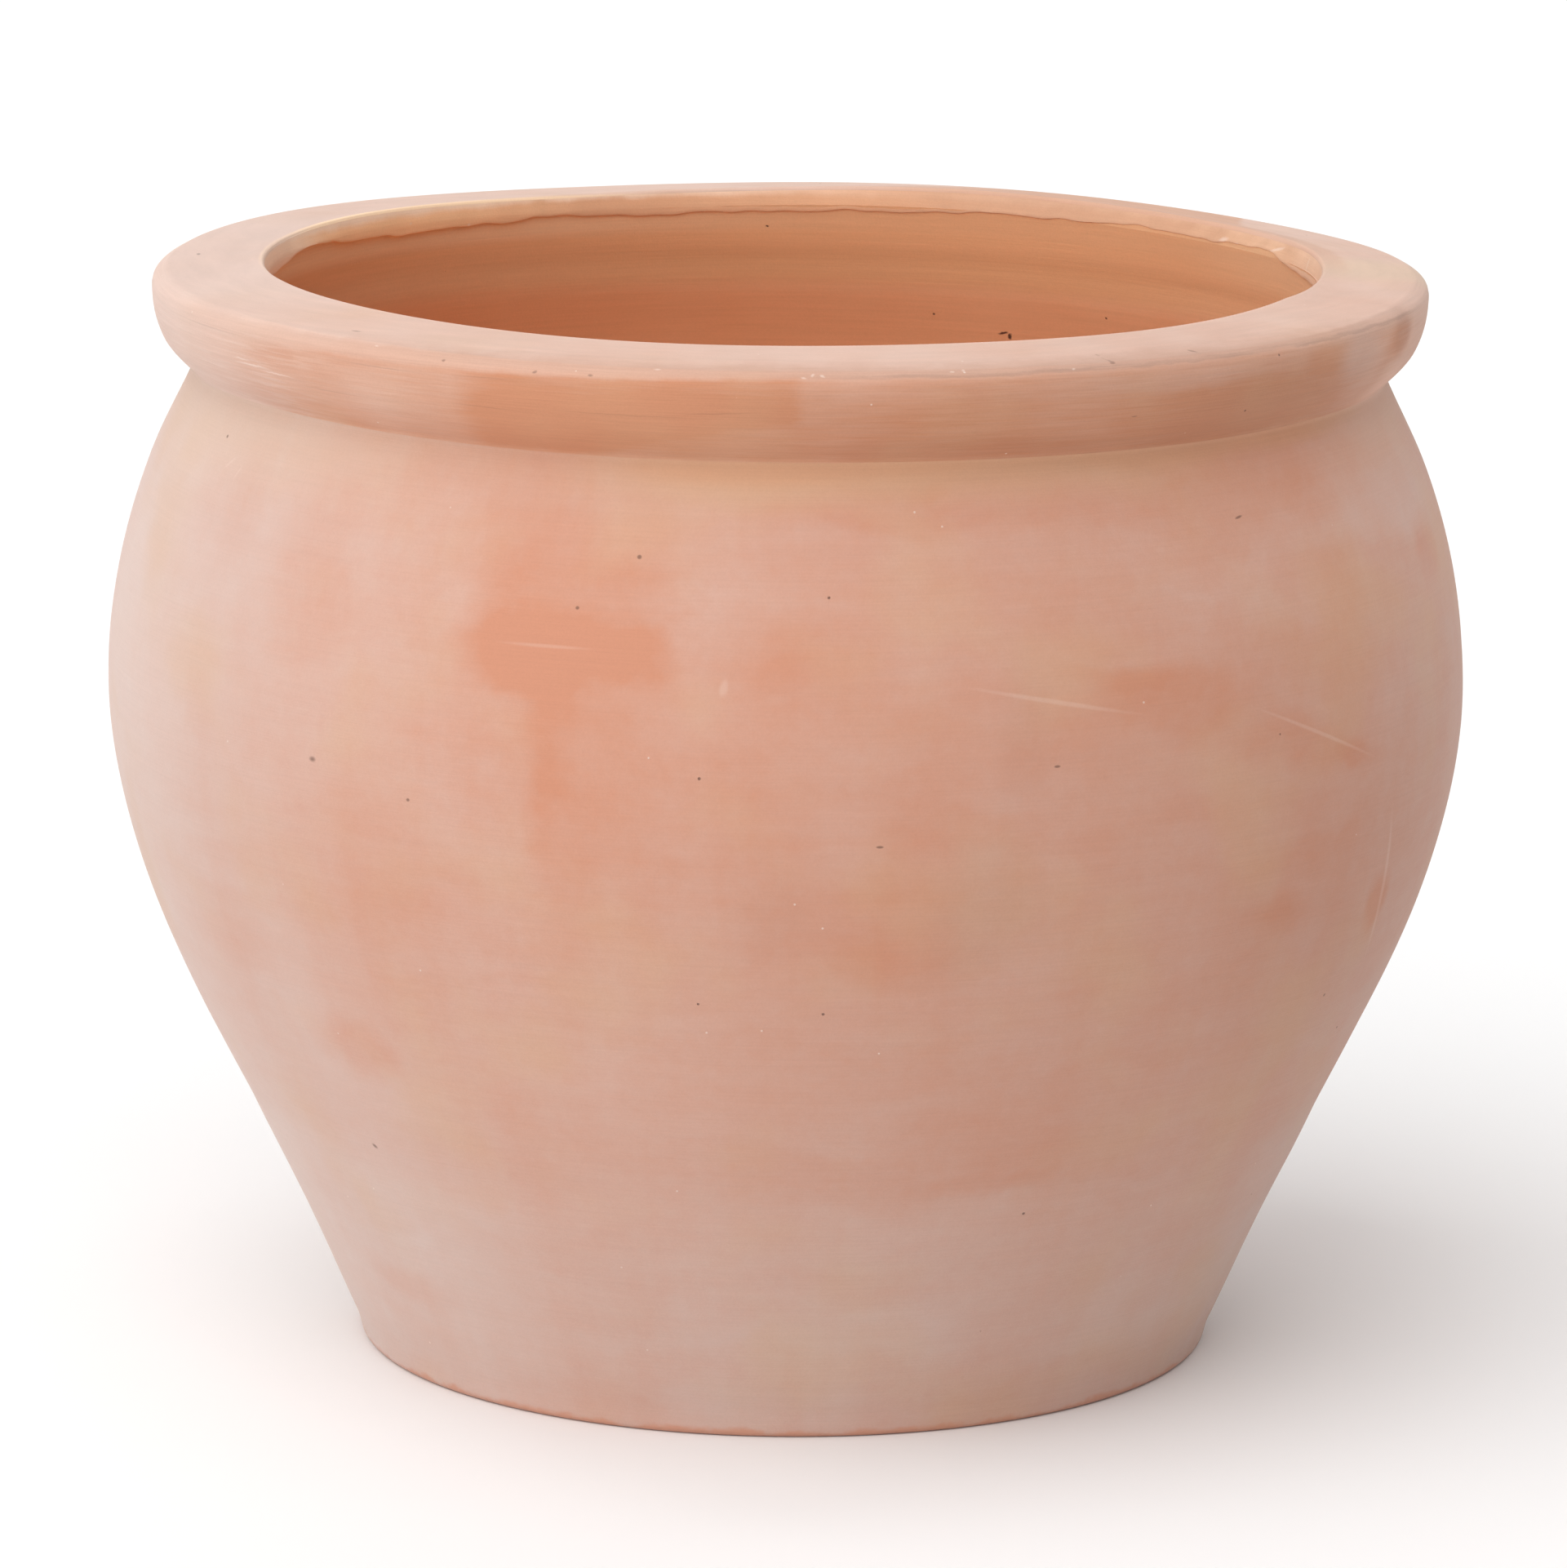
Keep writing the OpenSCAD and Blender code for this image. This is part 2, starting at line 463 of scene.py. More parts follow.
def turned(name, runs, columns, materials):
    """A closed ring turned about Z from runs of (skin, outline, spacing), in order."""
    outline, skins = section(runs)
    points = ring_points(outline, skins, columns)
    piece = mesh_object(name, points, ring_faces(outline, columns).tolist())
    mesh = piece.data
    names = list(materials)
    for skin in names:
        mesh.materials.append(materials[skin])
    index = [names.index(skin) if skin in names else 0 for skin in skins]
    mesh.polygons.foreach_set("material_index", np.repeat(index, columns))
    mesh.shade_smooth()
    mesh.set_sharp_from_angle(angle=SHARP_ANGLE)
    mesh.update()
    return piece


# ---- Shader building blocks: each adds nodes and gives back a socket, with lengths in mm ----
def add(tree, kind, inputs=None, **settings):
    """A new node. An input is a number, a tuple or another node's socket."""
    made = tree.nodes.new("ShaderNode" + kind)
    for name, value in settings.items():
        setattr(made, name, value)
    for key, value in (inputs or {}).items():
        if isinstance(value, bpy.types.NodeSocket):
            tree.links.new(value, made.inputs[key])
        else:
            made.inputs[key].default_value = value
    return made


def calc(tree, operation, *values, clamp=False):
    """One step of arithmetic on sockets or numbers."""
    return add(tree, "Math", dict(enumerate(values)), operation=operation, use_clamp=clamp).outputs[0]


def total(tree, *values):
    """The sum of sockets or numbers."""
    result = values[0]
    for value in values[1:]:
        result = calc(tree, "ADD", result, value)
    return result


def times(tree, first, second):
    """The product of two sockets or numbers."""
    return calc(tree, "MULTIPLY", first, second)


def larger(tree, first, second):
    """The larger of two sockets or numbers."""
    return calc(tree, "MAXIMUM", first, second)


def weighted(tree, pairs):
    """The sum of values, each times its weight, from pairs of (value, weight)."""
    result = 0.0
    for value, weight in pairs:
        result = calc(tree, "MULTIPLY_ADD", value, weight, result)
    return result


def step(tree, value, low, high, bottom=0.0, top=1.0):
    """A soft step from bottom at low to top at high."""
    inputs = {"Value": value, "From Min": low, "From Max": high, "To Min": bottom, "To Max": top}
    return add(tree, "MapRange", inputs, interpolation_type="SMOOTHSTEP").outputs["Result"]


def within(tree, *limits):
    """The product of soft steps, each given as (value, low, high) or with bottom and top too."""
    result = step(tree, *limits[0])
    for limit in limits[1:]:
        result = times(tree, result, step(tree, *limit))
    return result


def vector_math(tree, operation, *vectors):
    """One step of arithmetic on vectors."""
    return add(tree, "VectorMath", dict(enumerate(vectors)), operation=operation).outputs[0]


def split(tree, vector):
    """The three numbers of a vector."""
    return add(tree, "SeparateXYZ", {0: vector}).outputs


def noise(tree, vector, size, detail=2.0, roughness=0.5, output="Fac"):
    """Smooth noise from 0 to 1 with features about one size across."""
    inputs = {"Vector": vector, "Scale": 1 / size, "Detail": detail, "Roughness": roughness}
    return add(tree, "TexNoise", inputs).outputs[output]


def swing(tree, value, amount):
    """Noise from 0 to 1 turned into a change of up to about amount either way."""
    return calc(tree, "MULTIPLY_ADD", value, 4 * amount, -2 * amount)


def blend(tree, factor, first, second):
    """A number between first and second."""
    return add(tree, "Mix", {"Factor": factor, 2: first, 3: second}, data_type="FLOAT").outputs[0]


def mix(tree, factor, first, second, mode="MIX"):
    """A colour between first and second."""
    made = add(tree, "Mix", {"Factor": factor}, data_type="RGBA", blend_type=mode)
    for key, colour in ((6, first), (7, second)):
        if isinstance(colour, bpy.types.NodeSocket):
            tree.links.new(colour, made.inputs[key])
        else:
            made.inputs[key].default_value = (*colour, 1)
    return made.outputs[2]


def shaded(tree, colour, shade):
    """The colour times a shade near 1."""
    grey = add(tree, "CombineColor", {0: shade, 1: shade, 2: shade}).outputs[0]
    return mix(tree, 1.0, colour, grey, "MULTIPLY")


def wandering(tree, place, size, reach):
    """The place moved about by noise, so that what is drawn on it has uneven edges."""
    around = noise(tree, place, size, detail=3, output="Color")
    moved = vector_math(tree, "SUBTRACT", around, (0.5, 0.5, 0.5))
    moved = vector_math(tree, "MULTIPLY", moved, [2 * reach] * 3)
    return vector_math(tree, "ADD", place, moved)


class Whereabouts:
    """Where a point of the clay is, as sockets: in mm, in the pot's own frame.

    place is the point, z its height and radius its distance from the axis. side and front
    are how much of that distance is to the right and to the front, from -1 to 1.
    """

    def __init__(self, tree):
        metres = add(tree, "TexCoord").outputs["Object"]
        self.place = vector_math(tree, "MULTIPLY", metres, [1 / MM] * 3)
        self.z = split(tree, self.place)[2]
        level = vector_math(tree, "MULTIPLY", self.place, (1, 1, 0))
        self.radius = add(tree, "VectorMath", {0: level}, operation="LENGTH").outputs["Value"]
        outward = split(tree, vector_math(tree, "NORMALIZE", level))
        self.side = outward[0]
        self.front = times(tree, outward[1], -1)


TOP_MM = POT_TOP / MM
MOUTH_MM = MOUTH_R / MM
OUTSIDE_MM = np.vstack([
    line((FOOT_R, 0), (JOINT_R, JOINT_Z)),
    belly_curve(),
    shoulder_curve(),
    line((RIM_R, NECK_Z + 20 * MM), (RIM_R, POT_TOP)),
]) / MM


def patch(
    tree, place, azimuth, height, half_width, half_height, tilt=0, edge=0.45, radius=None, half_depth=80
):
    """1 inside an oval, 0 away from it. Angles are in degrees.

    Its middle is on the outside of the pot unless a radius is given.
    """
    r = np.interp(height, OUTSIDE_MM[:, 1], OUTSIDE_MM[:, 0]) if radius is None else radius
    turn = math.radians(azimuth)
    reach = 1 + edge
    inputs = {
        "Vector": place,
        "Location": (r * math.sin(turn), -r * math.cos(turn), height),
        "Rotation": (0, math.radians(tilt), turn),
        "Scale": (half_width * reach, half_depth * reach, half_height * reach),
    }
    local = add(tree, "Mapping", inputs, vector_type="TEXTURE").outputs[0]
    near = add(tree, "TexGradient", {"Vector": local}, gradient_type="SPHERICAL").outputs["Fac"]
    return step(tree, near, 0.0, 2 * edge / (1 + edge))


def patches(tree, place, rows):
    """The sum of patches, each times its strength, which is a row's first number."""
    return weighted(tree, ((patch(tree, place, *shape), strength) for strength, *shape in rows))


def marks(tree, place, rows):
    """1 inside any of the listed small marks. Rows as for patch, without a strength."""
    result = 0.0
    for row in rows:
        result = larger(tree, result, patch(tree, place, *row))
    return result


def spots(tree, place, spacing, size, share, offset):
    """Scattered round spots: 1 inside a spot. Only a share of the cells has one."""
    moved = vector_math(tree, "ADD", place, [offset] * 3)
    cells = add(tree, "TexVoronoi", {"Vector": moved, "Scale": 1 / spacing})
    near = step(tree, cells.outputs["Distance"], 1.3 * size / spacing, 0.7 * size / spacing)
    chosen = calc(tree, "LESS_THAN", split(tree, cells.outputs["Color"])[0], share)
    return times(tree, near, chosen)


def brush_lines(tree, place, length, pitch):
    """Fine level lines left by a brush or a wet hand, from 0 to 1."""
    drawn = vector_math(tree, "MULTIPLY", place, (1 / length, 1 / length, 1 / pitch))
    return noise(tree, drawn, 1.0, detail=3, roughness=0.6)


def upright_streaks(tree, at, width, length):
    """Runs of wash down the wall, from 0 to 1."""
    inputs = {
        0: times(tree, at.side, BELLY_R / MM / width),
        1: times(tree, at.front, -BELLY_R / MM / width),
        2: times(tree, at.z, 1 / length),
    }
    return noise(tree, add(tree, "CombineXYZ", inputs).outputs[0], 1.0)


def grain(tree, place, size=0.7):
    """The sandy grain of fired clay, from 0 to 1."""
    return noise(tree, place, size, detail=2, roughness=0.7)


def new_material(name):
    """An empty material and its node tree."""
    made = bpy.data.materials.new(name)
    made.use_nodes = True
    made.node_tree.nodes.clear()
    return made, made.node_tree


def finish_clay(tree, colour, roughness, height, sheen):
    """The clay shader: colour and roughness sockets, and a height socket in millimetres."""
    bump = add(tree, "Bump", {"Height": height, "Distance": MM, "Strength": 1.0}).outputs[0]
    inputs = {
        "Base Color": colour,
        "Roughness": roughness,
        "Normal": bump,
        "Specular IOR Level": 0.35,
        "Sheen Weight": sheen,
        "Sheen Roughness": 0.45,
    }
    shader = add(tree, "BsdfPrincipled", inputs)
    output = add(tree, "OutputMaterial", {"Surface": shader.outputs[0]})
    output.is_active_output = True


# ---- What is on the clay, with painted light and shade, and where ----
# Colours of bare clay, of the bloom on it, of marks and of painted light and shade, in linear light
BARE = (0.56, 0.245, 0.15)
BLOOM = (0.605, 0.455, 0.4)
FROST_AND_SHEEN = (0.7, 0.575, 0.52)
YELLOW = (0.6, 0.37, 0.22)
RIM_BARE = (0.54, 0.232, 0.125)
RIM_PALE = (0.69, 0.485, 0.4)
RIM_FACET = (0.62, 0.36, 0.26)
CREAM = (0.655, 0.47, 0.345)
RIM_FROST_AND_SHEEN = (0.69, 0.525, 0.46)
WORN = (0.61, 0.345, 0.23)
COLLAR_LEFT_WITH_PAINTED_LIGHT = (0.98, 0.59, 0.33)
COLLAR_LIP_WITH_PAINTED_LIGHT = (0.96, 0.76, 0.6)
COLLAR_BACK = (0.7, 0.375, 0.215)
COLLAR = (0.59, 0.325, 0.2)
COLLAR_BLOOM = (0.76, 0.48, 0.31)
COLLAR_PALE = (0.76, 0.49, 0.33)
RIM_ASH = (0.55, 0.36, 0.29)
NECK_CLAY = (0.6, 0.31, 0.175)
INNER = (0.81, 0.455, 0.26)
INNER_RED = (0.775, 0.39, 0.205)
INNER_TOP = (0.82, 0.455, 0.24)
INNER_PALE = (0.86, 0.54, 0.31)
LIP_PAINTED_LIGHT = (0.97, 0.7, 0.46)
INNER_PAINTED_SHADE = (0.6, 0.29, 0.135)
PIT = (0.1, 0.045, 0.03)
CHALK = (0.86, 0.74, 0.66)

# Bare orange patches on the walls, where the bloom is thin: strength, azimuth, height,
# half width, half height, tilt and softness of the edge, in degrees and mm
BARE_PATCHES = [
    (0.22, -20, 271, 27, 14, 0, 0.45),
    (0.12, -21, 266, 14, 10, 0, 0.5),
    (0.16, -12.5, 268, 14, 10, 0, 0.35),
    (0.14, -23, 296, 11, 17, 4, 0.7),
    (0.1, -14, 306, 24, 10, 0, 0.7),
    (0.1, -17, 289, 22, 15, 0, 0.8),
    (0.2, -19.5, 240, 6, 28, 2, 0.7),
    (0.12, -17.5, 198, 9, 42, 5, 0.8),
    (0.07, 8, 187, 27, 20, 8, 0.8),
    (0.06, 9, 182, 20, 10, 10, 0.8),
    (0.08, 11, 218, 13, 28, 0, 0.9),
    (0.09, 42, 95, 120, 48, 0, 0.9),
    (0.12, 2, 268, 24, 13, 0, 0.8),
    (0.14, 33, 254, 27, 11, 6, 0.35),
    (0.1, 29, 262, 24, 4, 4, 0.5),
    (0.08, 54, 260, 44, 11, 0, 0.8),
    (0.12, 46, 234, 36, 8, 12, 0.6),
    (0.1, 53, 227, 14, 4, 14, 0.5),
    (0.26, 62, 172, 9, 10, -25, 0.45),
    (0.2, 73.5, 281, 14, 10, 0, 0.5),
    (0.1, 46, 175, 12, 8, 0, 0.6),
    (0.08, 44, 168, 44, 30, 0, 0.9),
    (0.17, -44, 280, 17, 22, 0, 0.7),
    (0.2, -42.5, 130, 15, 11, -6, 0.5),
    (0.1, -35, 176, 22, 38, 0, 0.9),
    (0.12, -57, 160, 24, 13, 20, 0.8),
    (0.12, -58, 299, 18, 15, 0, 0.7),
    (0.1, 20, 95, 24, 4, 0, 0.6),
    (0.12, -51, 38, 18, 5, 5, 0.7),
    (0.12, 25, 319, 110, 10, 0, 0.6),
    (0.08, 40, 327, 90, 5, 0, 0.8),
    (0.1, 10, 327, 50, 4, 0, 0.8),
    (0.08, -40, 316, 26, 8, 0, 0.7),
    (0.3, 128, 262, 36, 16, 5, 0.5),
    (0.22, 152, 196, 18, 44, -4, 0.7),
    (0.26, -142, 240, 30, 22, 8, 0.6),
    (0.2, -112, 178, 16, 36, 0, 0.8),
    (0.2, 104, 150, 22, 14, -10, 0.6),
    (0.2, 178, 283, 44, 12, 0, 0.7),
]
# Where the bloom is thicker, in the same form
PALE_PATCHES = [
    (0.1, -5, 285, 13, 26, 0, 0.8),
    (0.06, 0, 36, 24, 12, 0, 0.8),
    (0.06, 40, 284, 26, 16, 0, 0.8),
    (0.2, 66, 296, 52, 10, 0, 0.7),
    (0.1, -24, 214, 26, 16, 0, 0.8),
    (0.14, -15, 150, 48, 44, 0, 0.9),
    (0.16, -9, 33, 64, 28, 0, 0.9),
    (0.05, 62, 236, 30, 14, 0, 0.8),
    (0.08, 40, 285, 20, 13, 0, 0.8),
    # The wide one on the left is partly painted sheen, like the thicker bloom towards the left edge.
    (0.12, -64, 262, 60, 75, 0, 0.9),
    (0.1, 8, 70, 34, 12, 0, 0.8),
    (0.1, 17, 42, 34, 10, 0, 0.8),
    (0.12, -7, 12, 18, 9, 0, 0.7),
    (0.1, 55, 34, 50, 12, 0, 0.8),
    (0.2, 118, 205, 34, 18, 0, 0.7),
    (0.25, -160, 120, 60, 22, 4, 0.7),
    (0.2, 165, 90, 45, 18, 0, 0.7),
]
# Darker places, in the same form. Below 0 the clay is lighter.
# The two wide ones on the right are painted shade, where less light falls, and the thin one at the neck
# is painted shade along the crease. The one below 0 on the upper right is a painted highlight. The low
# wide one in front darkens the front towards the foot; the rest are darker, harder fired places.
DARK_AND_SHADE_PATCHES = [
    (0.11, 42, 150, 150, 95, 0, 0.9),
    (0.05, 16, 188, 16, 21, 20, 0.7),
    (0.04, 60, 175, 60, 50, 0, 0.8),
    (0.03, -1, 190, 12, 12, 0, 0.7),
    (0.03, 19, 246, 8, 24, 0, 0.7),
    (-0.08, 66, 302, 90, 36, 0, 0.9),
    (0.05, 40, 328, 90, 5, 0, 0.8),
    (0.06, 0, 45, 130, 50, 0, 0.9),
    (0.04, -170, 170, 70, 50, 0, 0.7),
]
# The same three kinds on the rim
RIM_BARE_PATCHES = [
    (0.1, -17, 345, 30, 6, -3, 0.6),
    (0.28, -8, 344, 20, 2, -6, 0.6),
    (0.12, -12, 341, 20, 4, -5, 0.7),
    (0.2, -19, 333.5, 22, 3.5, -3, 0.5),
    (0.06, -5, 341, 24, 12, 0, 0.6),
    (0.14, 24, 339, 100, 14, 0, 0.5),
    (0.2, 46, 339, 48, 11, 0, 0.6),
    (0.16, 54, 352, 11, 6, 0, 0.5),
    (0.36, 69.5, 351.5, 11, 6.5, -12, 0.6),
    (0.12, -10, 339, 12, 9, 0, 0.7),
    (0.14, -51, 350, 12, 4, 0, 0.7),
    (0.05, -50, 335, 32, 5, 0, 0.6),
    (0.2, 128, 344, 26, 8, 0, 0.5),
    (0.2, -130, 340, 34, 9, 0, 0.5),
    (0.18, 170, 348, 40, 6, 0, 0.5),
]
RIM_PALE_PATCHES = [
    (0.05, -8, 336, 22, 5, -4, 0.7),
    (0.14, 37, 352, 34, 4, 0, 0.7),
    (0.06, 38, 347, 80, 10, 0, 0.8),
    (0.2, 61, 347, 14, 11, 0, 0.5),
    (0.18, -44, 343, 28, 10, 0, 0.7),
    (0.12, -40, 346, 12, 14, 0, 0.8),
    (0.15, -72, 334, 14, 5, 0, 0.7),
    (0.12, 70, 336, 14, 6, 0, 0.7),
    (0.1, -36, 340, 16, 10, 0, 0.7),
    (0.1, -29, 350, 8, 6, 0, 0.7),
    (0.2, -150, 350, 30, 5, 0, 0.6),
]
# Darker places on the rim. Most are painted shade: the wide ones on the side towards the right, where
# less light falls, and the thin one just above the neck crease. Those below 0 are painted light,
# lifting the crease on the left and on the right. The rest are darker brown places.
RIM_DARK_AND_SHADE_PATCHES = [
    (0.11, 32, 341, 105, 16, 0, 0.5),
    (0.08, 50, 338, 56, 13, 0, 0.7),
    (0.03, 18, 333, 60, 3, 0, 0.8),
    (-0.04, -24, 334, 26, 6, 0, 0.7),
    (0.04, 70, 336, 50, 12, 0, 0.8),
    (-0.04, -42, 334, 30, 5, 0, 0.7),
    (0.04, 0, 349, 26, 8, 0, 0.8),
    (0.12, 70, 352, 9, 6, -12, 0.5),
    (-0.1, 70, 335, 12, 5, 0, 0.7),
]
# Pinholes and pale scratches on the walls, as patches without a strength
PINHOLES = [
    (-12.6, 300, 0.7, 0.6, 0, 0.4),
    (-17.5, 284, 0.6, 0.5, 0, 0.4),
    (-31.5, 220, 0.6, 0.5, 0, 0.4),
    (22, 236, 1, 0.4, 0, 0.4),
    (7.5, 213, 1.1, 0.4, 0, 0.4),
    (-41.3, 228, 1.1, 0.7, 0, 0.7),
    (43, 305, 1.5, 0.35, -10, 0.4),
    (-46, 92, 1, 0.6, 30, 0.6),
    (58, 141, 0.6, 0.5, 0, 0.4),
    (-63, 317.5, 0.6, 0.5, 0, 0.4),
]
SCRATCHES = [
    (22.2, 255.8, 24, 0.7, 11.5, 0.5),
    (62.5, 176, 1, 22, -14, 0.5),
    (49, 235, 26, 0.6, 22, 0.5),
    (-20, 272, 12, 0.5, 0, 0.6),
    (-5, 262, 1.2, 2.4, 12, 0.5),
    (-60.5, 310.5, 3, 0.5, -38, 0.5),
    (-58.5, 308.5, 2.2, 0.4, -60, 0.5),
]
# A cream place on the top beside the right end of the mouth, and an ashen one on the side.
# A row may end with a radius and a half depth, for what isn't on the outside.
TOP_CREAM = (90, 361, 22, 12, 0, 0.6, 193, 26)
SIDE_ASH = (60, 351, 13, 8, 0, 0.6)
# Pale chips and scratches on the rim
RIM_CHIPS = [
    (1.2, 357, 0.8, 0.2, 8, 0.7),
    (2, 357.6, 0.5, 0.25, -20, 0.7),
    (2.8, 357.4, 0.7, 0.2, 10, 0.7),
    (15, 358.4, 0.5, 0.25, 0, 0.7),
    (25, 357.4, 0.6, 0.2, 0, 0.7),
    (-54.5, 345.6, 8, 0.25, -1, 0.7),
    (-51, 344.4, 7, 0.2, 1, 0.7),
    (-56, 346.8, 4, 0.2, 0, 0.7),
    (-11, 362, 1.1, 6, 20, 0.5, 206, 0.5),
    (14, 361, 0.7, 6, 0, 0.5, 207, 0.4),
    (-38.5, 361, 0.8, 6, 0, 0.5, 207, 0.3),
]
# Pale chips on the collar
COLLAR_CHIPS = [
    (122, 357.8, 2.2, 0.8, 12, 0.7, 174, 4),
    (119, 357, 1.4, 0.6, -8, 0.7, 174, 4),
    (110, 359.4, 3.6, 0.5, 14, 0.6, 175, 4),
    (99.5, 359, 0.5, 2, 10, 0.6, 174, 4),
    (-140, 354.5, 0.6, 0.6, 0, 0.4, 172, 4),
    (-131, 357.5, 0.4, 0.4, 0, 0.4, 172, 4),
]
# Dark hairlines and nicks on the rim
RIM_HAIRLINES = [
    (-14, 344, 18, 0.2, 0.5, 0.8),
    (-27, 343.4, 9, 0.2, 1.5, 0.8),
    (-6, 345.6, 9, 0.25, -3, 0.8),
    (-61, 354.2, 20, 0.2, 0, 0.8),
    (-38, 352.4, 14, 0.18, 1, 0.8),
    (-27, 352.8, 10, 0.16, -1, 0.8),
    (-44, 342, 12, 0.18, 1, 0.8),
]
RIM_NICKS = [
    (-92.5, 361, 1.8, 6, 0, 0.4, 196, 0.6),
    (-43.5, 361, 1.8, 6, 0, 0.5, 198, 0.5),
    (-17, 356, 0.9, 0.3, 0, 0.5),
    (-22, 356, 0.7, 0.3, 0, 0.5),
    (-31, 357.5, 0.6, 0.3, 0, 0.5),
    (29, 358.5, 0.8, 0.35, 0, 0.5),
    (38.5, 358.5, 0.8, 0.4, 0, 0.5),
    (31, 341.6, 1, 0.25, 0, 0.5),
]
# Dark chips on the inside, near the back
INSIDE_CHIPS = [
    (156.6, 312.5, 1.7, 0.5, 12, 0.5),
    (155.9, 311.4, 0.7, 1, -20, 0.5),
    (182.6, 349, 0.6, 0.4, 0, 0.4),
]


# ---- Walls ----
def wall_bloom(tree, at, loose, wavy_z):
    """How thick the bloom on the walls is: 0 on bare clay, 1 where it hides the clay; partly painted
    sheen at the edges.
    """
    low = step(tree, wavy_z, 100, 78, 0.0, 0.13)
    lower = step(tree, at.z, 200, 60, 0.25, 0.45)
    # Thicker towards the left and right edges: partly bloom, partly painted sheen where the light
    # grazes.
    left = within(tree, (at.side, -0.35, -0.97), (at.z, 50, 200, 0.36, 0.46))
    right = step(tree, at.side, 0.78, 0.99, 0.0, 0.14)
    cloudy = noise(tree, loose, 26, detail=3, roughness=0.6)
    swept = vector_math(tree, "MULTIPLY", loose, (1, 1, 4))
    spread = total(
        tree,
        swing(tree, noise(tree, at.place, 80, detail=2), 0.09),
        swing(tree, cloudy, 0.06),
        swing(tree, noise(tree, at.place, 4, detail=3, roughness=0.6), 0.04),
        swing(tree, upright_streaks(tree, at, 18, 170), 0.05),
        swing(tree, noise(tree, swept, 40, detail=3), 0.07),
    )
    runs = swing(tree, upright_streaks(tree, at, 9, 60), 0.05)
    runs = times(tree, runs, within(tree, (at.z, 280, 305), (at.side, 0.1, -0.4)))
    pale = patches(tree, loose, PALE_PATCHES)
    amount = total(tree, low, lower, left, right, spread, pale, runs)
    bare = patches(tree, loose, BARE_PATCHES)
    bare = times(tree, bare, step(tree, cloudy, 0.25, 0.65, 0.55, 1.35))
    return calc(tree, "SUBTRACT", amount, bare, clamp=True)


def wall_tints(tree, colour, at, wavy_z):
    """Frosted bloom and painted sheen on the far left, yellow clay in places and a wiped neck, over the
    walls' colour.
    """
    # The far left is paler: partly frosted bloom, partly painted sheen where the light grazes the wall.
    frost_and_sheen = within(tree, (at.side, -0.8, -0.99), (at.z, 100, 240, 0.25, 0.45))
    colour = mix(tree, frost_and_sheen, colour, FROST_AND_SHEEN)
    hue = step(tree, noise(tree, at.place, 48), 0.45, 0.75, 0.0, 0.3)
    under_rim = within(
        tree, (at.side, -0.5, -0.1), (at.side, 0.8, 0.4), (wavy_z, 310, 324, 0.0, 0.58)
    )
    colour = mix(tree, larger(tree, hue, under_rim), colour, YELLOW)
    wiped = within(
        tree, (at.side, -0.4, -0.12), (at.side, 0.97, 0.88), (wavy_z, 320.5, 326.5, 0.0, 0.65)
    )
    colour = mix(tree, wiped, colour, NECK_CLAY)
    left = step(tree, at.side, -0.4, -0.88, 0.0, 0.42)
    right = step(tree, at.side, 0.8, 0.98, 0.0, 0.3)
    neck = times(tree, total(tree, 0.04, left, right), step(tree, wavy_z, 296, 322))
    return mix(tree, neck, colour, CREAM)


def worn_foot(tree, colour, at):
    """The bare edge of the foot, over the walls' colour."""
    ragged = swing(tree, noise(tree, at.place, 9, detail=3), 1.6)
    foot = step(tree, total(tree, at.z, ragged), 3.2, 1.0, 0.0, 0.7)
    return mix(tree, foot, colour, BARE)


def wall_clay():
    """The outside of the walls and the foot: orange clay under a pale pink bloom."""
    made, tree = new_material("outside_clay")
    at = Whereabouts(tree)
    loose = wandering(tree, wandering(tree, at.place, 40, 9), 9, 2)
    wavy_z = total(tree, at.z, swing(tree, noise(tree, at.place, 70), 4))
    amount = wall_bloom(tree, at, loose, wavy_z)
    colour = wall_tints(tree, mix(tree, amount, BARE, BLOOM), at, wavy_z)

    lines = brush_lines(tree, at.place, 45, 0.55)
    grains = grain(tree, at.place)
    shade = total(tree, 1.0, swing(tree, lines, 0.022), swing(tree, grains, 0.03))
    # Darker places, painted shade and a painted highlight, from the patches.
    shade = calc(tree, "SUBTRACT", shade, patches(tree, loose, DARK_AND_SHADE_PATCHES))
    colour = worn_foot(tree, shaded(tree, colour, shade), at)
    holes = spots(tree, at.place, 13, 0.4, 0.08, 300)
    specks = spots(tree, at.place, 9, 0.36, 0.14, 700)
    pits = larger(tree, holes, marks(tree, at.place, PINHOLES))
    chalk = larger(tree, specks, times(tree, marks(tree, at.place, SCRATCHES), 0.25))
    colour = mix(tree, times(tree, pits, 0.65), colour, PIT)
    colour = mix(tree, times(tree, chalk, 0.45), colour, CHALK)

    rough = calc(tree, "MULTIPLY_ADD", amount, 0.12, 0.72)
    uneven = noise(tree, at.place, 6, detail=1)
    height = weighted(
        tree, [(lines, 0.05), (grains, 0.04), (uneven, 0.1), (holes, -0.5), (specks, 0.08)]
    )
    finish_clay(tree, colour, rough, height, sheen=0.12)
    return made


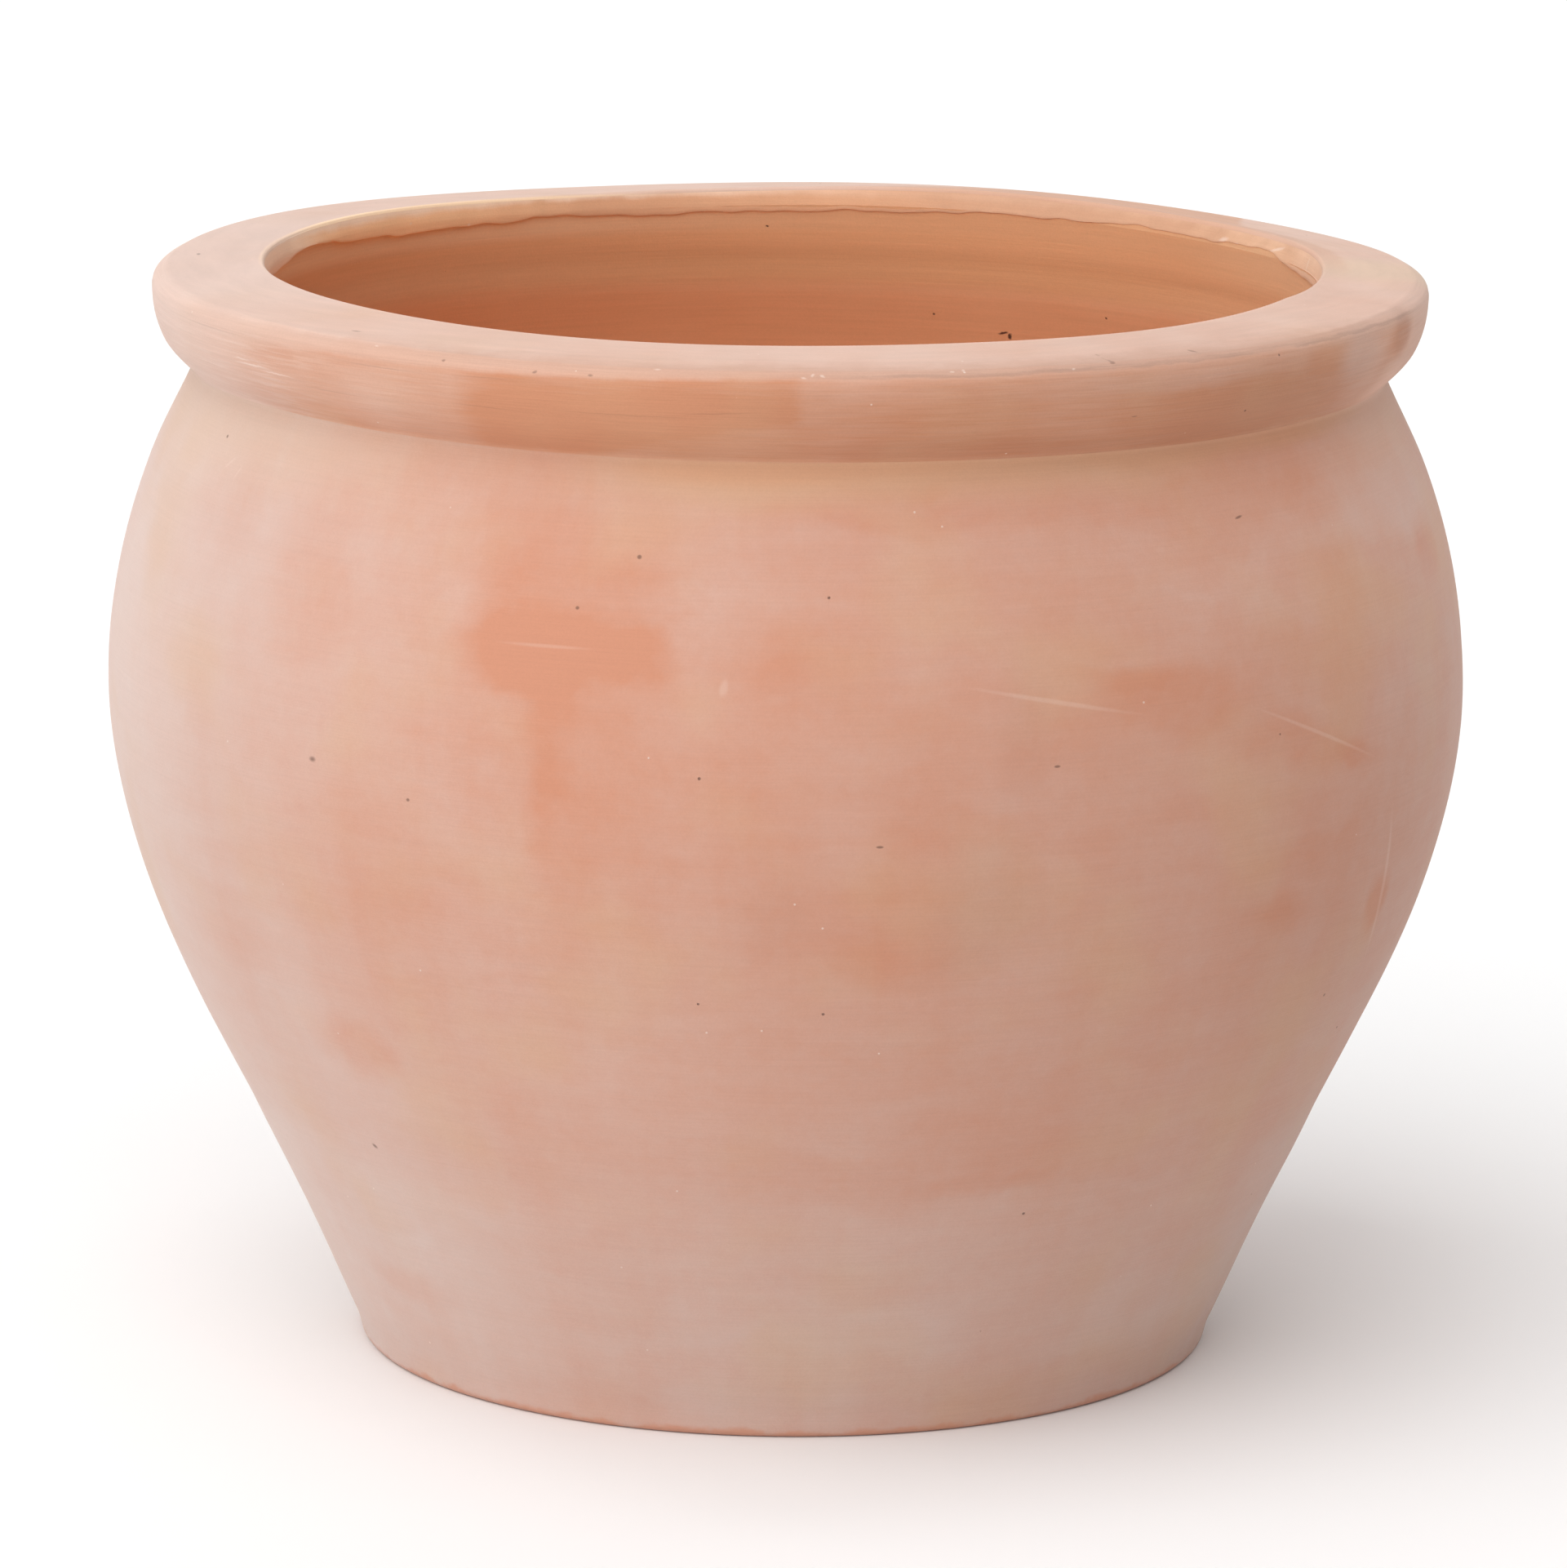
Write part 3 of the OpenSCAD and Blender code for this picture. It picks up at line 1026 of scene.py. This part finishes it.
# ---- Collar ----
def collar_colour(tree, at, cloudy):
    """Cream on the left, orange at the back, paler again on the right and along the edge: partly
    painted light and shade.
    """
    # The cream on the left is partly painted light, where the collar faces away from the lights.
    colour = mix(tree, step(tree, at.side, -0.8, -0.35), COLLAR_LEFT_WITH_PAINTED_LIGHT, COLLAR_BACK)
    # Darker orange towards the right: partly painted shade, where the key light falls on the collar.
    colour = mix(tree, step(tree, at.side, 0.0, 0.5), colour, COLLAR)
    wavy_side = total(tree, at.side, swing(tree, cloudy, 0.05))
    colour = mix(tree, step(tree, wavy_side, 0.74, 0.98, 0.0, 0.55), colour, COLLAR_BLOOM)
    colour = mix(tree, step(tree, at.side, 0.955, 0.985), colour, COLLAR_PALE)
    wavy_z = total(tree, at.z, swing(tree, cloudy, 0.8))
    # The pale lip along the top edge, stronger to the left and at the far left, is partly painted
    # light.
    edge = within(
        tree, (wavy_z, TOP_MM - 2.5, TOP_MM + 0.5), (at.side, 0.3, -0.4, 0.1, 0.75)
    )
    far_left = step(tree, at.side, -0.9, -0.98, 0.0, 0.65)
    return mix(tree, larger(tree, edge, far_left), colour, COLLAR_LIP_WITH_PAINTED_LIGHT)


def collar_clay():
    """The collar in the mouth: clay with a thin bloom, warmer at the back."""
    made, tree = new_material("collar_clay")
    at = Whereabouts(tree)
    cloudy = noise(tree, at.place, 12, detail=3)
    lines = brush_lines(tree, at.place, 30, 0.8)
    grains = grain(tree, at.place)
    shade = total(
        tree, 1.0, swing(tree, lines, 0.03), swing(tree, grains, 0.03), swing(tree, cloudy, 0.04)
    )
    colour = shaded(tree, collar_colour(tree, at, cloudy), shade)
    pits = spots(tree, at.place, 8, 0.35, 0.12, 400)
    colour = mix(tree, times(tree, pits, 0.6), colour, PIT)
    chips = marks(tree, wandering(tree, at.place, 3, 0.5), COLLAR_CHIPS)
    colour = mix(tree, times(tree, chips, 0.35), colour, CHALK)
    rough = total(tree, 0.76, swing(tree, cloudy, 0.05))
    finish_clay(tree, colour, rough, weighted(tree, [(lines, 0.06), (grains, 0.05)]), sheen=0.05)
    return made


# ---- Rim ----
def bare_panel(tree, at, loose):
    """How bare the orange panel on the front is: square ends and a slanting lower edge."""
    slant = calc(tree, "MULTIPLY_ADD", at.side, -29, split(tree, loose)[2])
    return within(
        tree,
        (at.side, -0.51, -0.46),
        (at.side, 0.03, 0.0),
        (slant, 340.5, 345, 0.0, 0.17),
        (at.front, 0.0, 0.1),
    )


def side_bloom(tree, at, loose, strokes):
    """How thick the bloom on the side of the rim is; partly painted sheen towards both edges."""
    # Thicker towards the far left and right edges: partly bloom, partly painted sheen where the light
    # grazes.
    left = step(tree, at.side, -0.66, -0.98, 0.09, 0.72)
    right = step(tree, at.side, 0.88, 0.99, 0.0, 0.3)
    broad = swing(tree, noise(tree, at.place, 40, detail=2), 0.08)
    dry = within(tree, (strokes, 0.52, 0.62), (at.side, -0.68, -0.78, 0.0, 0.14))
    bare = total(tree, patches(tree, loose, RIM_BARE_PATCHES), bare_panel(tree, at, loose))
    pale = patches(tree, loose, RIM_PALE_PATCHES)
    upper = step(tree, at.z, 346, 354, 0.0, 0.06)
    amount = total(tree, 0.1, left, right, upper, broad, swing(tree, strokes, 0.09), dry, pale)
    return calc(tree, "SUBTRACT", amount, bare, clamp=True)


def top_bloom(tree, at):
    """How thick the bloom on the top of the rim is."""
    rubbed = swing(tree, noise(tree, at.place, 28, detail=3), 0.12)
    return total(tree, 0.9, rubbed, times(tree, at.side, -0.06), times(tree, at.front, -0.08))


def top_face(tree, at, over):
    """1 on the top and 0 on the side, from the height over the arris: crisp in front only."""
    crisp = within(tree, (over, -1.2, 0.8), (over, 0.0, 3.6, 0.5, 1.0))
    soft = step(tree, over, -4, 3)
    return blend(tree, step(tree, at.front, 0.5, 0.75), soft, crisp)


def worn_top(tree, at):
    """How much of the bloom is worn off the top: a band by the mouth, wide at the back right."""
    uneven = swing(tree, noise(tree, at.place, 9, detail=3), 1.2)
    reach = within(tree, (at.side, -0.1, 0.55, 2, 36), (at.side, 0.72, 0.85, 1.0, 0.25))
    beyond = calc(tree, "SUBTRACT", total(tree, at.radius, uneven), reach)
    return within(
        tree,
        (at.front, 0.2, -0.2),
        (at.side, -0.1, 0.5, 0.1, 0.9),
        (at.side, 0.78, 0.92, 1.0, 0.6),
        (beyond, MOUTH_MM + 5, MOUTH_MM + 1),
    )


def rim_tints(tree, colour, at):
    """Yellow clay in places, and frosted bloom with painted sheen on the far left, over the rim's
    colour.
    """
    hue = step(tree, noise(tree, at.place, 35), 0.45, 0.75, 0.0, 0.18)
    colour = mix(tree, hue, colour, YELLOW)
    # The far left is paler: partly frosted bloom, partly painted sheen where the light grazes the rim.
    return mix(tree, step(tree, at.side, -0.72, -0.98, 0.0, 0.55), colour, RIM_FROST_AND_SHEEN)


def rim_stains(tree, colour, at, loose):
    """Cream, ashen and worn places, and painted light on the mouth's edge, over the rim's colour."""
    colour = mix(tree, times(tree, patch(tree, loose, *TOP_CREAM), 0.8), colour, CREAM)
    colour = mix(tree, times(tree, patch(tree, loose, *SIDE_ASH), 0.4), colour, RIM_ASH)
    colour = mix(tree, worn_top(tree, at), colour, WORN)
    # Painted light: a pale orange on the mouth's edge at the left and back, where it turns away from
    # the light.
    mouth_edge_painted_light = within(
        tree,
        (at.radius, MOUTH_MM + 4, MOUTH_MM + 2.6),
        (at.front, 0.3, 0.0),
        (at.side, 0.2, -0.2),
        (at.side, -0.99, -0.9, 0.3, 0.9),
    )
    return mix(tree, mouth_edge_painted_light, colour, LIP_PAINTED_LIGHT)


def edge_shades(tree, at, over, arris, strokes):
    """What is added to the shade along the edges, all painted: a light mouth, a dark arris and a dark
    line along it.
    """
    # Painted highlight along the front of the mouth.
    mouth = within(tree, (at.radius, MOUTH_MM + 5, MOUTH_MM + 3), (at.front, 0.2, 0.6, 0.0, 0.06))
    # Painted shade on the arris band, stronger towards the right.
    arris = times(tree, arris, step(tree, at.side, -0.1, 0.2, -0.06, -0.13))
    # A thin painted shade line along the arris on the front right, darker where the brush strokes run.
    arris_shade_line = within(
        tree,
        (over, -0.4, 0.1),
        (over, 1.1, 0.5),
        (at.side, -0.1, 0.25),
        (at.front, 0.15, 0.4),
        (strokes, 0.3, 0.6, -0.04, -0.16),
    )
    return total(tree, arris, mouth, arris_shade_line)


def rim_marks(tree, colour, at, loose, pits, chalk):
    """Pits, nicks and hairlines, then chalk and chips, over the rim's colour."""
    chips = marks(tree, wandering(tree, at.place, 3, 0.5), RIM_CHIPS)
    hairlines = marks(tree, wandering(tree, at.place, 5, 0.3), RIM_HAIRLINES)
    nicks = marks(tree, loose, RIM_NICKS)
    dark = larger(tree, times(tree, pits, 0.7), times(tree, nicks, 0.45))
    colour = mix(tree, dark, colour, PIT)
    colour = mix(tree, times(tree, hairlines, 0.14), colour, PIT)
    pale = larger(tree, times(tree, chalk, 0.5), times(tree, chips, 0.36))
    return mix(tree, pale, colour, CHALK)


def rim_clay():
    """The rim: a pale wiped top that ends at the arris, and a brushed orange side."""
    made, tree = new_material("rim_clay")
    at = Whereabouts(tree)
    loose = wandering(tree, at.place, 12, 2)
    wander = swing(tree, noise(tree, at.place, 12, detail=4, roughness=0.65), 0.5)
    wavy_z = total(tree, at.z, wander)
    arris_z = step(tree, at.side, -0.5, 0.12, TOP_MM - 6.6, TOP_MM - 4.7)
    over = calc(tree, "SUBTRACT", wavy_z, arris_z)
    top = top_face(tree, at, over)
    strokes = brush_lines(tree, at.place, 22, 1.1)
    amount = blend(tree, top, side_bloom(tree, at, loose, strokes), top_bloom(tree, at))
    colour = rim_tints(tree, mix(tree, amount, RIM_BARE, RIM_PALE), at)
    arris = within(tree, (wavy_z, TOP_MM - 1.6, TOP_MM - 3.4), (at.front, 0.2, 0.6))
    arris = times(tree, arris, top)
    # The arris band is mixed towards a darker pink: partly the clay's tint, partly painted shade where
    # the edge turns down.
    facet = times(tree, arris, step(tree, at.side, -0.9, -0.5, 0.25, 0.8))
    colour = mix(tree, facet, colour, RIM_FACET)
    colour = rim_stains(tree, colour, at, loose)

    lines = brush_lines(tree, at.place, 30, 0.45)
    grains = grain(tree, at.place)
    brushed = total(tree, 1.0, swing(tree, lines, 0.05), swing(tree, grains, 0.03))
    shade = total(tree, brushed, edge_shades(tree, at, over, arris, strokes))
    # Darker places, with painted shade and painted light, from the patches.
    shade = calc(tree, "SUBTRACT", shade, patches(tree, loose, RIM_DARK_AND_SHADE_PATCHES))
    colour = shaded(tree, colour, shade)
    pits = spots(tree, at.place, 11, 0.42, 0.12, 100)
    chalk = spots(tree, at.place, 7, 0.38, 0.14, 500)
    colour = rim_marks(tree, colour, at, loose, pits, chalk)

    rough = calc(tree, "MULTIPLY_ADD", amount, 0.1, 0.7)
    height = weighted(
        tree, [(strokes, 0.1), (lines, 0.06), (grains, 0.04), (pits, -0.4), (chalk, 0.08)]
    )
    finish_clay(tree, colour, rough, height, sheen=0.1)
    return made


# ---- Inside ----
def inside_tints(tree, colour, at):
    """Painted light under the lip and on the right, and a band of painted shade below, over the
    inside's colour.
    """
    colour = mix(tree, step(tree, at.z, 332, 348), colour, INNER_TOP)
    # Painted light on the right, near the top.
    sunny = within(tree, (at.side, 0.72, 0.98), (at.z, 335, 347))
    colour = mix(tree, sunny, colour, INNER_PALE)
    # Painted light just under the collar, most towards the left, where the collar shades the wall.
    painted_light_under_lip = within(tree, (at.z, 345, 351), (at.side, 0.4, -1.0, 0.1, 0.85))
    colour = mix(tree, painted_light_under_lip, colour, LIP_PAINTED_LIGHT)
    # A band of painted shade below that, weaker on the left and at the far right.
    painted_shade_band = within(
        tree,
        (at.z, 326, 332),
        (at.z, 346, 337),
        (at.side, -1.0, 0.0, 0.25, 0.72),
        (at.side, 0.6, 0.95, 1.0, 0.6),
    )
    return mix(tree, painted_shade_band, colour, INNER_PAINTED_SHADE)


def inside_clay():
    """The inside: clean orange clay with level throwing lines."""
    made, tree = new_material("inside_clay")
    at = Whereabouts(tree)
    lines = brush_lines(tree, at.place, 40, 1.0)
    bands = brush_lines(tree, at.place, 150, 14)
    cloudy = noise(tree, at.place, 40, detail=3)
    # The side term makes the left redder and darker: painted shade, where the inside faces away from
    # the light.
    amount = total(
        tree, 0.4, swing(tree, bands, 0.08), swing(tree, cloudy, 0.2), times(tree, at.side, -0.35)
    )
    colour = inside_tints(tree, mix(tree, amount, INNER, INNER_RED), at)
    grains = grain(tree, at.place, 0.8)
    shade = total(
        tree, 1.0, swing(tree, lines, 0.04), swing(tree, bands, 0.02), swing(tree, grains, 0.03)
    )
    colour = shaded(tree, colour, shade)
    holes = spots(tree, at.place, 10, 0.4, 0.12, 900)
    chips = marks(tree, wandering(tree, at.place, 2, 0.8), INSIDE_CHIPS)
    colour = mix(tree, larger(tree, times(tree, holes, 0.8), chips), colour, PIT)
    rough = total(tree, 0.78, swing(tree, cloudy, 0.05))
    height = weighted(tree, [(lines, 0.07), (bands, 0.05), (grains, 0.05), (holes, -0.5)])
    finish_clay(tree, colour, rough, height, sheen=0.05)
    return made


# ---- The pot ----
WALL_CLAY = wall_clay()
RIM_CLAY = rim_clay()
COLLAR_CLAY = collar_clay()
INSIDE_CLAY = inside_clay()
WALL_SKINS = {"outside": WALL_CLAY, "inside": INSIDE_CLAY}
RIM_SKINS = {"outside": RIM_CLAY, "collar": COLLAR_CLAY, "inside": INSIDE_CLAY}

PIECES = [
    ("floor_clay", "floor_slab", "clay_floor", floor_runs(), WALL_COLUMNS, WALL_SKINS),
    ("lower_wall_clay", "lower_wall", "clay_wall", lower_wall_runs(), WALL_COLUMNS, WALL_SKINS),
    ("upper_wall_clay", "upper_wall", "clay_wall", upper_wall_runs(), WALL_COLUMNS, WALL_SKINS),
    ("rim_clay", "rim", "clay_rim", rim_runs(), RIM_COLUMNS, RIM_SKINS),
]
for name, node, slot, runs, columns, skins in PIECES:
    piece = turned(name, runs, columns, skins)
    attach(piece, "root")
    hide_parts(node)

# ---- Stage ----
# The camera: the photograph's side in pixels, and what fits the outline of the pot in it
FRAME_SIDE = 1921
FOCAL_PX = 10591
SENSOR = 36.0
CAMERA_X = -0.0006
CAMERA_DISTANCE = 2.831
CAMERA_HEIGHT = 0.778
CAMERA_PITCH = math.radians(11.81)
CAMERA_ROLL = math.radians(0.56)

# The floor is a wide disc whose edge turns up far away, so that low views end in it too
FLOOR_FLAT_R = 50.0
FLOOR_R = 60.0
FLOOR_EDGE_RISE = 3.0
FLOOR_RINGS = 12
FLOOR_COLUMNS = 96
FLOOR_WHITE = 0.9
FLOOR_ROUGHNESS = 0.9

# The lights: name, azimuth, elevation and strength, and how wide each one shines
SUNS = [
    ("key_light", -55, 40, 0.68),
    ("front_light", 0, 55, 0.49),
    ("back_light", 180, 45, 0.43),
    ("right_light", 70, 35, 0.06),
]
SUN_SPREAD = math.radians(90)
SKY_STRENGTH = 0.015


def studio_camera():
    """The camera, where the photograph was taken from."""
    data = bpy.data.cameras.new("camera")
    data.sensor_width = SENSOR
    data.lens = FOCAL_PX / FRAME_SIDE * SENSOR
    camera = scene_object("camera", data)
    camera.matrix_world = (
        Matrix.Translation((CAMERA_X, -CAMERA_DISTANCE, CAMERA_HEIGHT))
        @ Matrix.Rotation(math.pi / 2 - CAMERA_PITCH, 4, "X")
        @ Matrix.Rotation(CAMERA_ROLL, 4, "Z")
    )
    bpy.context.scene.camera = camera


def studio_floor():
    """The plain pale floor: a level disc, then rings that rise to its edge."""
    r = np.linspace(FLOOR_FLAT_R, FLOOR_R, FLOOR_RINGS)[:, None]
    turns = np.linspace(0, 2 * math.pi, FLOOR_COLUMNS, endpoint=False)
    rise = FLOOR_EDGE_RISE * ((r - FLOOR_FLAT_R) / (FLOOR_R - FLOOR_FLAT_R)) ** 2
    x, y, z = np.broadcast_arrays(r * np.cos(turns), r * np.sin(turns), rise)
    at = np.arange(FLOOR_RINGS * FLOOR_COLUMNS).reshape(FLOOR_RINGS, FLOOR_COLUMNS)
    beside = np.roll(at, -1, axis=1)
    edge = np.stack([at[:-1], at[1:], beside[1:], beside[:-1]], axis=-1).reshape(-1, 4)
    made = mesh_object("stage_floor", np.stack([x, y, z], axis=-1), [at[0].tolist(), *edge.tolist()])
    paint = bpy.data.materials.new("stage_paint")
    paint.use_nodes = True
    shader = paint.node_tree.nodes["Principled BSDF"]
    shader.inputs["Base Color"].default_value = (FLOOR_WHITE, FLOOR_WHITE, FLOOR_WHITE, 1)
    shader.inputs["Roughness"].default_value = FLOOR_ROUGHNESS
    made.data.materials.append(paint)
    return made


def studio_sky():
    """A faint white light from all round."""
    world = bpy.data.worlds.new("world")
    bpy.context.scene.world = world
    world.use_nodes = True
    sky = world.node_tree.nodes["Background"]
    sky.inputs["Color"].default_value = (1, 1, 1, 1)
    sky.inputs["Strength"].default_value = SKY_STRENGTH


def studio_sun(name, azimuth, elevation, strength):
    """A very wide soft light, from an azimuth and elevation in degrees."""
    light = bpy.data.lights.new(name, "SUN")
    light.energy = strength * math.pi
    light.angle = SUN_SPREAD
    lamp = scene_object(name, light)
    a, e = math.radians(azimuth), math.radians(elevation)
    toward = Vector((math.sin(a) * math.cos(e), -math.cos(a) * math.cos(e), math.sin(e)))
    lamp.rotation_mode = "QUATERNION"
    lamp.rotation_quaternion = toward.to_track_quat("Z", "Y")


studio_camera()
floor = studio_floor()
studio_sky()
for name, azimuth, elevation, strength in SUNS:
    studio_sun(name, azimuth, elevation, strength)
bpy.context.scene.view_settings.view_transform = "Standard"
